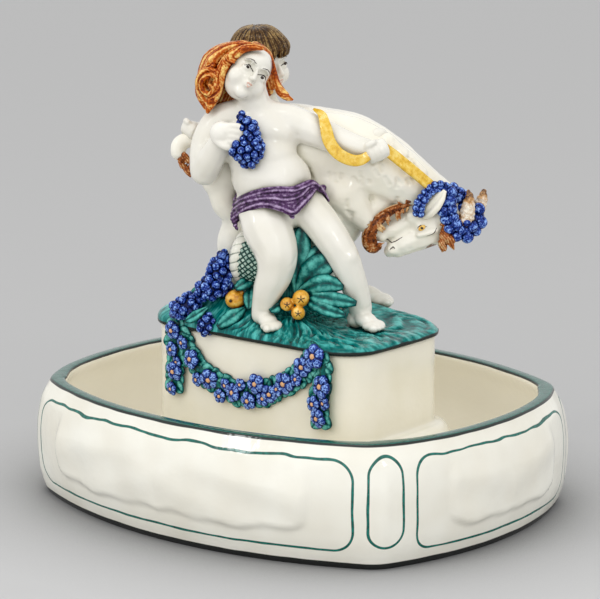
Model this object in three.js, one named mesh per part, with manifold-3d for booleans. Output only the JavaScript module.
// Figural table centrepiece in glazed earthenware: a long flower basin, and standing in it a plinth
// cast in one with two children who hold back a goat over a mound of fruit and grapes.
// Millimetres, +Z up, X along the basin, Y across it, the origin under the middle of the basin.
import * as THREE from "three";
import { mergeVertices } from "three/addons/utils/BufferGeometryUtils.js";
import Module from "manifold-3d";

const wasm = await Module();
wasm.setup();

// The basin: an oblong with bowed sides, its wall swelling below the rim
const BASIN = { halfLength: 200, halfWidth: 164, bowLong: 36, bowShort: 21, corner: 30 };
const BASIN_HEIGHT = 96;
const WALL = 9;
const FLOOR_THICKNESS = 11;
const BULGE = 10.5;
const BASIN_STEPS = 8;

// The plinth: a plain block with rounded corners, standing on the basin's floor
const PLINTH = { halfLength: 108, halfWidth: 64, bowLong: 2, bowShort: 1, corner: 28 };
const PLINTH_AT = [-2.5, -1.5];
const PLINTH_TOP = 142.5;
// Its foot is a step wider than the block, with a rounded shoulder
const SOCLE_HEIGHT = 58;
const SOCLE_STEP = 13;
const SOCLE_SHOULDER = { step: 0.58, drop: 7, fall: 1 };
const CONTACT_GAP = 0.3;

// The modelled ground on the plinth, which rises towards the back, and under the basket
const GROUND_OVERHANG = 3;
const GROUND_FRONT = 148;
const GROUND_RISE = 13;
const GROUND_RISE_LENGTH = 90;
const MOUND = { x: -50, y: 0, height: 18, radius: 28 };
const FRUIT_MOUND = { x: -3, y: -44, height: 8, radius: 13 };

// The figures face the basin's front right corner, so they are laid out in a frame turned about Z:
// x runs to a viewer's right before them, y away from the viewer
const FIGURES_TURN = THREE.MathUtils.degToRad(39);

// The swag on the plinth's front face
const SWAG_HALF = 75;
const SWAG_TOP = 141;
const SWAG_SAG = 45;
const SWAG_PENDANT = 58;
const SWAG_FLOWER = 9;
const SWAG_RELIEF = 5;

const LIMB_SIDES = 6;
const BERRY_SWELL = 0.11;
// Slivers along the joins that are finer than this are smoothed away
const FINEST_DETAIL = 0.25;
const V = (p) => new THREE.Vector3(p[0], p[1], p[2]);

// A closed mesh as a solid that can be joined and cut
function toSolid(geometry) {
  const bare = geometry.clone();
  bare.deleteAttribute("normal");
  bare.deleteAttribute("uv");
  const merged = mergeVertices(bare, 1e-4);
  const mesh = new wasm.Mesh({
    numProp: 3,
    vertProperties: new Float32Array(merged.attributes.position.array),
    triVerts: new Uint32Array(merged.index.array),
  });
  return new wasm.Manifold(mesh);
}

function toGeometry(solid) {
  const mesh = solid.getMesh();
  const geometry = new THREE.BufferGeometry();
  geometry.setAttribute("position", new THREE.BufferAttribute(new Float32Array(mesh.vertProperties), 3));
  geometry.setIndex(new THREE.BufferAttribute(new Uint32Array(mesh.triVerts), 1));
  geometry.computeVertexNormals();
  return geometry;
}

function join(solids) {
  return solids.reduce((whole, next) => whole.add(next));
}

// A skin over rings of equal count, each counter-clockwise about the way the rings go, capped at both ends
function loft(rings) {
  const count = rings[0].length;
  const points = rings.flat();
  const index = [];
  for (let i = 0; i < rings.length - 1; i += 1) {
    for (let j = 0; j < count; j += 1) {
      const a = i * count + j;
      const b = i * count + ((j + 1) % count);
      index.push(a, b, b + count, a, b + count, a + count);
    }
  }
  const ends = [rings[0], rings[rings.length - 1]];
  ends.forEach((ring, end) => {
    const middle = ring.reduce((sum, p) => sum.add(p), new THREE.Vector3()).divideScalar(count);
    const m = points.push(middle) - 1;
    const first = end === 0 ? 0 : (rings.length - 1) * count;
    for (let j = 0; j < count; j += 1) {
      const a = first + j;
      const b = first + ((j + 1) % count);
      index.push(m, end === 0 ? b : a, end === 0 ? a : b);
    }
  });
  const geometry = new THREE.BufferGeometry();
  geometry.setFromPoints(points);
  geometry.setIndex(index);
  return geometry;
}

// The outline of an oblong with bowed sides and rounded corners, moved outwards by offset
function outline(size, offset, sideSteps, cornerSteps) {
  const x = size.halfLength - size.corner - size.bowShort;
  const y = size.halfWidth - size.corner - size.bowLong;
  const reach = size.corner + offset;
  const longRadius = (x * x + size.bowLong ** 2) / (2 * size.bowLong);
  const shortRadius = (y * y + size.bowShort ** 2) / (2 * size.bowShort);
  const longAngle = Math.asin(x / longRadius);
  const shortAngle = Math.asin(y / shortRadius);
  const points = [];
  const arc = (cx, cy, radius, from, to, steps) => {
    for (let i = 0; i < steps; i += 1) {
      const angle = from + ((to - from) * i) / steps;
      points.push(new THREE.Vector2(cx + radius * Math.cos(angle), cy + radius * Math.sin(angle)));
    }
  };
  const shortMiddle = x + size.bowShort - shortRadius;
  const longMiddle = y + size.bowLong - longRadius;
  const quarter = Math.PI / 2;
  arc(shortMiddle, 0, shortRadius + reach, -shortAngle, shortAngle, sideSteps);
  arc(x, y, reach, shortAngle, quarter - longAngle, cornerSteps);
  arc(0, longMiddle, longRadius + reach, quarter - longAngle, quarter + longAngle, sideSteps);
  arc(-x, y, reach, quarter + longAngle, 2 * quarter - shortAngle, cornerSteps);
  const half = points.length;
  for (let i = 0; i < half; i += 1) {
    points.push(points[i].clone().negate());
  }
  return points;
}

// A solid over an outline, from a profile of [offset, height] pairs
function outlineSolid(size, profile, at, sideSteps, cornerSteps) {
  const lift = (height) => (p) => new THREE.Vector3(p.x + at[0], p.y + at[1], height);
  const ring = ([offset, height]) => outline(size, offset, sideSteps, cornerSteps).map(lift(height));
  return toSolid(loft(profile.map(ring)));
}

// An egg: half sizes [x, y, z], tilt about x, y and z in degrees
function egg(at, half, tilt = [0, 0, 0], sides = 8, rows = 5) {
  const geometry = new THREE.SphereGeometry(1, sides, rows);
  geometry.rotateX(Math.PI / 2);
  geometry.scale(half[0], half[1], half[2]);
  const turn = new THREE.Euler(...tilt.map(THREE.MathUtils.degToRad));
  geometry.applyMatrix4(new THREE.Matrix4().makeRotationFromEuler(turn));
  geometry.translate(at[0], at[1], at[2]);
  return toSolid(geometry);
}

// A limb with round ends through knots of [x, y, z, radius]; flat thins it along its second axis
function limb(knots, sides = LIMB_SIDES, flat = 1) {
  const centres = knots.map(V);
  const radii = knots.map((k) => k[3]);
  const last = knots.length - 1;
  const along = (i) => centres[Math.min(i + 1, last)].clone().sub(centres[Math.max(i - 1, 0)]).normalize();
  const start = along(0);
  const side = Math.abs(start.y) < 0.9 ? new THREE.Vector3(0, 1, 0) : new THREE.Vector3(1, 0, 0);
  const rings = [];
  const ring = (centre, way, radius) => {
    const across = side.clone().addScaledVector(way, -side.dot(way)).normalize();
    side.copy(across);
    const other = new THREE.Vector3().crossVectors(way, across);
    const points = [];
    for (let j = 0; j < sides; j += 1) {
      const angle = (2 * Math.PI * j) / sides;
      const point = centre.clone().addScaledVector(across, radius * flat * Math.cos(angle));
      points.push(point.addScaledVector(other, radius * Math.sin(angle)));
    }
    rings.push(points);
  };
  const cap = (i, sign) => centres[i].clone().addScaledVector(along(i), sign * radii[i] * 0.8);
  ring(cap(0, -1), along(0), radii[0] * 0.6);
  centres.forEach((centre, i) => ring(centre, along(i), radii[i]));
  ring(cap(last, 1), along(last), radii[last] * 0.6);
  return toSolid(loft(rings));
}

// Berries or flower buds packed in an egg: its points stand out and in by turns
function bunch(at, half, sides = 10, rows = 7) {
  const geometry = new THREE.SphereGeometry(1, sides, rows);
  geometry.rotateX(Math.PI / 2);
  const position = geometry.attributes.position;
  const point = new THREE.Vector3();
  for (let i = 0; i < position.count; i += 1) {
    point.fromBufferAttribute(position, i);
    const row = Math.round((Math.acos(THREE.MathUtils.clamp(point.z, -1, 1)) * rows) / Math.PI);
    const column = Math.round((Math.atan2(point.y, point.x) * sides) / (2 * Math.PI));
    const swell = (row + column) % 2 === 0 ? BERRY_SWELL : -BERRY_SWELL;
    point.multiplyScalar(1 + (row > 0 && row < rows ? swell : 0));
    position.setXYZ(i, at[0] + point.x * half[0], at[1] + point.y * half[1], at[2] + point.z * half[2]);
  }
  return toSolid(geometry);
}

// The basin: outside and inside follow the same bulging wall
function basin() {
  const outside = [
    [1, 0],
    [3, 5],
    [0.75 * BULGE, 22],
    [BULGE, 45],
    [BULGE, 62],
    [0.7 * BULGE, 80],
    [1.5, 91],
    [-1, BASIN_HEIGHT],
  ];
  const inside = [
    [-WALL - 5, FLOOR_THICKNESS],
    [-WALL + 4, FLOOR_THICKNESS + 9],
    [BULGE - WALL, 45],
    [BULGE - WALL, 62],
    [-WALL + 0.6 * BULGE, 80],
    [-WALL - 0.5, 91],
    [-WALL - 0.5, BASIN_HEIGHT + 1],
  ];
  const outer = outlineSolid(BASIN, outside, [0, 0], BASIN_STEPS, 4);
  return outer.subtract(outlineSolid(BASIN, inside, [0, 0], BASIN_STEPS, 4));
}

function plinth() {
  const foot = FLOOR_THICKNESS + CONTACT_GAP;
  const profile = [
    [SOCLE_STEP, foot],
    [SOCLE_STEP, foot + SOCLE_HEIGHT - SOCLE_SHOULDER.drop],
    [SOCLE_STEP * SOCLE_SHOULDER.step, foot + SOCLE_HEIGHT - SOCLE_SHOULDER.fall],
    [0, foot + SOCLE_HEIGHT],
    [0, PLINTH_TOP],
  ];
  return outlineSolid(PLINTH, profile, PLINTH_AT, 4, 4);
}

// The ground's height at a point of the figures' frame
function groundHeight(x, y) {
  const bell = (m) => m.height * Math.exp(-((x - m.x) ** 2 + (y - m.y) ** 2) / (2 * m.radius ** 2));
  const rise = THREE.MathUtils.smoothstep(y, -GROUND_RISE_LENGTH / 2, GROUND_RISE_LENGTH / 2);
  return GROUND_FRONT + GROUND_RISE * rise + bell(MOUND) + bell(FRUIT_MOUND);
}

function ground() {
  const edge = outline(PLINTH, GROUND_OVERHANG, 4, 4).map((p) => p.add(new THREE.Vector2(...PLINTH_AT)));
  const toFigures = (p) => p.clone().rotateAround(new THREE.Vector2(), -FIGURES_TURN);
  const flat = (scale, height) => edge.map((p) => new THREE.Vector3(p.x * scale, p.y * scale, height));
  const top = (scale, sink) =>
    edge.map((p) => {
      const q = toFigures(p.clone().multiplyScalar(scale));
      return new THREE.Vector3(p.x * scale, p.y * scale, groundHeight(q.x, q.y) - sink);
    });
  const rings = [flat(0.985, PLINTH_TOP - 1), flat(1, PLINTH_TOP + 1), top(0.995, 4), top(0.96, 1)];
  rings.push(top(0.8, 0), top(0.55, 0), top(0.3, 0));
  return toSolid(loft(rings));
}

// A garland of flowers on the plinth's front face: it swells at each flower and draws in between
function garland(curve, flowers) {
  const beads = 2 * flowers;
  const knots = [];
  for (let i = 0; i <= beads; i += 1) {
    const p = curve.getPointAt(i / beads);
    knots.push([p.x, p.y, p.z, SWAG_FLOWER * (i % 2 === 0 ? 1 : 0.72)]);
  }
  return limb(knots, 6, SWAG_RELIEF / SWAG_FLOWER);
}

function swag() {
  const face = PLINTH_AT[1] - PLINTH.halfWidth;
  const end = (side, drop) => new THREE.Vector3(side * SWAG_HALF, face, SWAG_TOP - drop);
  const pull = new THREE.Vector3(0, face, SWAG_TOP - 2 * SWAG_SAG);
  const dip = new THREE.QuadraticBezierCurve3(end(-1, 0), pull, end(1, 0));
  const pendant = (side) => garland(new THREE.LineCurve3(end(side, 6), end(side, SWAG_PENDANT)), 4);
  return join([garland(dip, 9), pendant(-1), pendant(1)]);
}

function frontChild() {
  const torso = [
    egg([-11, -20, 246], [35, 25, 23]),
    egg([-20, -20, 272], [32, 25, 27], [0, 12, 0]),
    egg([-34, -13, 303], [34, 22, 27], [8, 12, 0]),
  ];
  const head = [
    limb([[-36, -9, 322, 13], [-41, -9, 336, 12]]),
    egg([-42, -11, 351], [23, 23, 26], [-12, 14, 0], 10, 7),
  ];
  const armAtChest = [
    limb([[-66, -8, 311, 14], [-72, -11, 291, 12.5], [-75, -15, 272, 12]]),
    limb([[-75, -17, 271, 11.5], [-68, -26, 286, 10.5], [-61, -33, 298, 8.5]]),
    egg([-60, -40, 305], [11, 8, 10]),
  ];
  const armOut = [
    limb([[-10, -12, 312, 14], [8, -15, 306, 12.5], [26, -20, 299, 11.5], [46, -25, 292, 8.5]]),
    egg([60, -26, 291], [11, 10, 9]),
  ];
  const bentLeg = [
    limb(
      [
        [-30, -22, 244, 21],
        [-24, -34, 227, 20],
        [-18, -43, 208, 16.5],
        [-25, -41, 184, 12.5],
        [-31, -37, 168, 8.5],
      ],
    ),
    limb([[-33, -34, 157, 9], [-29, -42, 156, 9], [-25, -50, 154, 8]]),
  ];
  const straightLeg = [
    limb(
      [
        [6, -24, 244, 21],
        [20, -32, 226, 19.5],
        [34, -39, 208, 15],
        [43, -38, 185, 12],
        [48, -35, 169, 8.5],
      ],
    ),
    limb([[46, -32, 158, 9], [54, -39, 157, 9], [61, -46, 155, 8]]),
  ];
  return join([...torso, ...head, ...armAtChest, ...armOut, ...bentLeg, ...straightLeg]);
}

// The front child's hair, wavy and shoulder length, thick at the viewer's left
function frontHair() {
  return join([
    egg([-47, -6, 358], [24, 24, 22], [0, 20, 0], 10, 7),
    limb([[-62, -10, 362, 10], [-71, -12, 346, 11], [-74, -12, 330, 9], [-70, -12, 320, 5]], 8),
    limb([[-26, 0, 358, 9], [-20, 2, 342, 8], [-13, 0, 333, 5]], 8),
  ]);
}

// The cloth round the front child's hips, knotted at the hip to the viewer's right
function loincloth() {
  return join([
    egg([-11, -21, 248], [37.5, 27.5, 12], [0, -12, 0], 10, 5),
    limb([[-4, -40, 246, 7], [-5, -43, 236, 5], [-5, -42, 228, 2.5]], 8),
    egg([22, -24, 258], [7, 10, 6]),
  ]);
}

// The child behind the goat, pulling it back over its neck
function rearChild() {
  return join([
    egg([-14, 58, 240], [26, 22, 24]),
    egg([-22, 55, 270], [25, 20, 26], [0, 10, 0]),
    egg([-24, 50, 300], [29, 19, 24], [6, 10, 0]),
    limb([[-22, 40, 322, 12], [-26, 40, 336, 12]], 6),
    egg([-31, 41, 355], [24, 24, 27], [0, 8, 0], 10, 7),
    limb([[-2, 38, 318, 13], [16, 28, 312, 11.5], [34, 16, 306, 10.5], [54, 1, 297, 8]], 6),
    egg([62, -5, 295], [11, 8, 8]),
    limb([[-42, 50, 308, 12.5], [-66, 44, 300, 11], [-76, 34, 296, 9.5], [-85, 22, 298, 9]], 6),
    limb(
      [
        [0, 56, 236, 18],
        [18, 48, 214, 16],
        [32, 40, 197, 13],
        [41, 32, 184, 11],
        [47, 26, 171, 8],
      ],
      6,
    ),
    limb([[46, 26, 163, 8.5], [58, 22, 162, 8.5], [70, 18, 161, 7]], 6),
    limb([[-24, 60, 232, 18], [-16, 62, 208, 16], [-9, 60, 186, 12], [-5, 60, 170, 9]], 6),
    limb([[-6, 62, 165, 8.5], [2, 56, 164, 8.5], [11, 50, 163, 7]], 6),
  ]);
}

function goat() {
  const body = [
    limb([[-68, 20, 284, 27], [-45, 20, 284, 31], [-10, 18, 282, 33], [18, 14, 278, 34]], 9),
    egg([30, 10, 258], [27, 27, 34], [0, -14, 0]),
    egg([36, 13, 226], [15, 17, 22]),
  ];
  const neck = [
    limb(
      [
        [16, 14, 290, 33],
        [40, 8, 285, 32],
        [68, 6, 270, 29],
        [94, 5, 254, 23],
        [116, 4, 242, 18],
      ],
      9,
    ),
  ];
  const head = [
    egg([118, 0, 232], [18, 17, 17]),
    egg([100, -3, 226], [19, 15, 15], [0, 15, 0]),
    limb([[112, -1, 224, 14], [92, -3, 217, 12.5], [78, -4, 212, 10.5]], 7),
    egg([67, -4, 219], [8, 7, 7]),
  ];
  const beard = [
    limb(
      [
        [88, -8, 246, 6],
        [70, -8, 240, 9],
        [57, -6, 232, 10],
        [52, -5, 220, 9],
        [54, -5, 209, 5],
      ],
      6,
    ),
  ];
  const ears = [
    limb([[101, -16, 236, 5], [108, -19, 247, 7], [115, -20, 257, 4]], 6, 0.5),
    limb([[103, 14, 238, 5], [112, 18, 248, 7], [119, 20, 256, 4]], 6, 0.5),
  ];
  const horns = [
    limb([[130, -8, 228, 7], [133, -10, 244, 6], [134, -10, 255, 3.5]], 5),
    limb([[143, 8, 226, 6.5], [146, 9, 240, 5.5], [147, 9, 250, 3]], 5),
  ];
  const wreath = bunch([128, 0, 238], [19, 20, 21]);
  const band = limb([[98, -20, 238, 4.5], [98, -21, 250, 4.5], [108, -20, 262, 4.5], [122, -14, 262, 4]], 6);
  const legs = [
    limb(
      [
        [-70, 10, 262, 19],
        [-68, 8, 242, 13],
        [-62, 10, 226, 10],
        [-64, 16, 207, 7.5],
        [-61, 15, 180, 7],
        [-60, 14, 160, 8],
      ],
      6,
    ),
    limb(
      [
        [-66, 30, 258, 18],
        [-60, 32, 240, 13],
        [-56, 33, 222, 10],
        [-58, 38, 205, 7.5],
        [-56, 38, 180, 7],
        [-55, 38, 160, 8],
      ],
      6,
    ),
    limb([[26, 2, 232, 14], [26, 2, 212, 10], [24, 4, 190, 8], [23, 4, 160, 8.5]], 6),
    limb([[20, 24, 232, 14], [14, 26, 212, 10], [10, 26, 190, 8], [8, 26, 160, 8.5]], 6),
  ];
  const tail = limb([[-80, 22, 290, 7.5], [-90, 20, 291, 7], [-98, 19, 286, 7], [-95, 16, 276, 4.5]], 6);
  return join([...body, ...neck, ...head, ...beard, ...ears, ...horns, wreath, band, ...legs, tail]);
}

// The rein: a slack loop over the arm, then taut from the fist to the goat's wreath
function rein() {
  return join([
    limb(
      [
        [10, -12, 316, 3],
        [14, -27, 308, 4.5],
        [18, -34, 296, 4.5],
        [27, -36, 287, 4.5],
        [38, -36, 283, 4.5],
        [48, -35, 284, 4.5],
        [53, -32, 289, 3.5],
      ],
      8,
    ),
    limb([[66, -27, 293, 4.5], [86, -24, 277, 4.5], [106, -18, 259, 4.5]], 8),
  ]);
}

// The rock that carries the goat's belly between its legs, hidden from the front by the basket
function rock() {
  return egg([-22, 22, 196], [34, 17, 62], [0, 0, 0], 8, 6);
}

// The spilled basket, its grapes, the fruit and the leaves
function stillLife() {
  const basket = limb([[-44, -2, 197, 23], [-30, -3, 196, 20], [-12, -4, 194, 16]], 12);
  const basketRim = limb([[-47, -2, 197, 25], [-43, -2, 197, 26]], 12);
  const grapes = [
    bunch([-66, -8, 187], [15, 13, 21]),
    bunch([-90, -10, 164], [14, 11, 12], 8, 6),
    bunch([-43, -42, 298], [14, 9, 22]),
    bunch([-75, -27, 148], [7, 6, 10], 6, 5),
  ];
  const fruits = [
    egg([-52, -20, 169], [8, 8, 8], [0, 0, 0], 8, 5),
    egg([-9, -47, 171], [6.5, 6.5, 6.5], [0, 0, 0], 7, 5),
    egg([2, -47, 174], [6.5, 6.5, 6.5], [0, 0, 0], 7, 5),
    egg([-3, -51, 164], [6.5, 6.5, 6.5], [0, 0, 0], 7, 5),
  ];
  const root = [-2, -36, 176];
  const tips = [
    [1, -30, 226],
    [27, -38, 208],
    [28, -45, 198],
    [34, -51, 185],
    [43, -55, 173],
    [35, -58, 162],
  ];
  const leaves = tips.map((tip) => {
    const knots = [0, 0.35, 0.65, 0.95].map((t, i) => {
      const p = V(root).lerp(V(tip), t);
      return [p.x, p.y, p.z, [3.5, 6.5, 7, 3][i]];
    });
    return limb(knots, 6, 0.55);
  });
  return join([basket, basketRim, ...grapes, ...fruits, ...leaves]);
}

function figureGroup() {
  const figures = join([
    frontChild(),
    frontHair(),
    loincloth(),
    rearChild(),
    goat(),
    rein(),
    rock(),
    stillLife(),
  ]);
  const turned = toGeometry(figures).rotateZ(FIGURES_TURN);
  return join([plinth(), ground(), swag(), toSolid(turned)]).simplify(FINEST_DETAIL);
}

const glaze = { roughness: 0.18, metalness: 0 };
const basinGlaze = new THREE.MeshStandardMaterial({ color: "#ece8dc", ...glaze });
const groupGlaze = new THREE.MeshStandardMaterial({ color: "#f0ece0", ...glaze });

const centrepiece = new THREE.Group();
const pieces = [
  ["basin", basin(), basinGlaze],
  ["figure_group", figureGroup(), groupGlaze],
];
for (const [name, solid, material] of pieces) {
  const mesh = new THREE.Mesh(toGeometry(solid), material);
  mesh.name = name;
  centrepiece.add(mesh);
}

export default centrepiece;
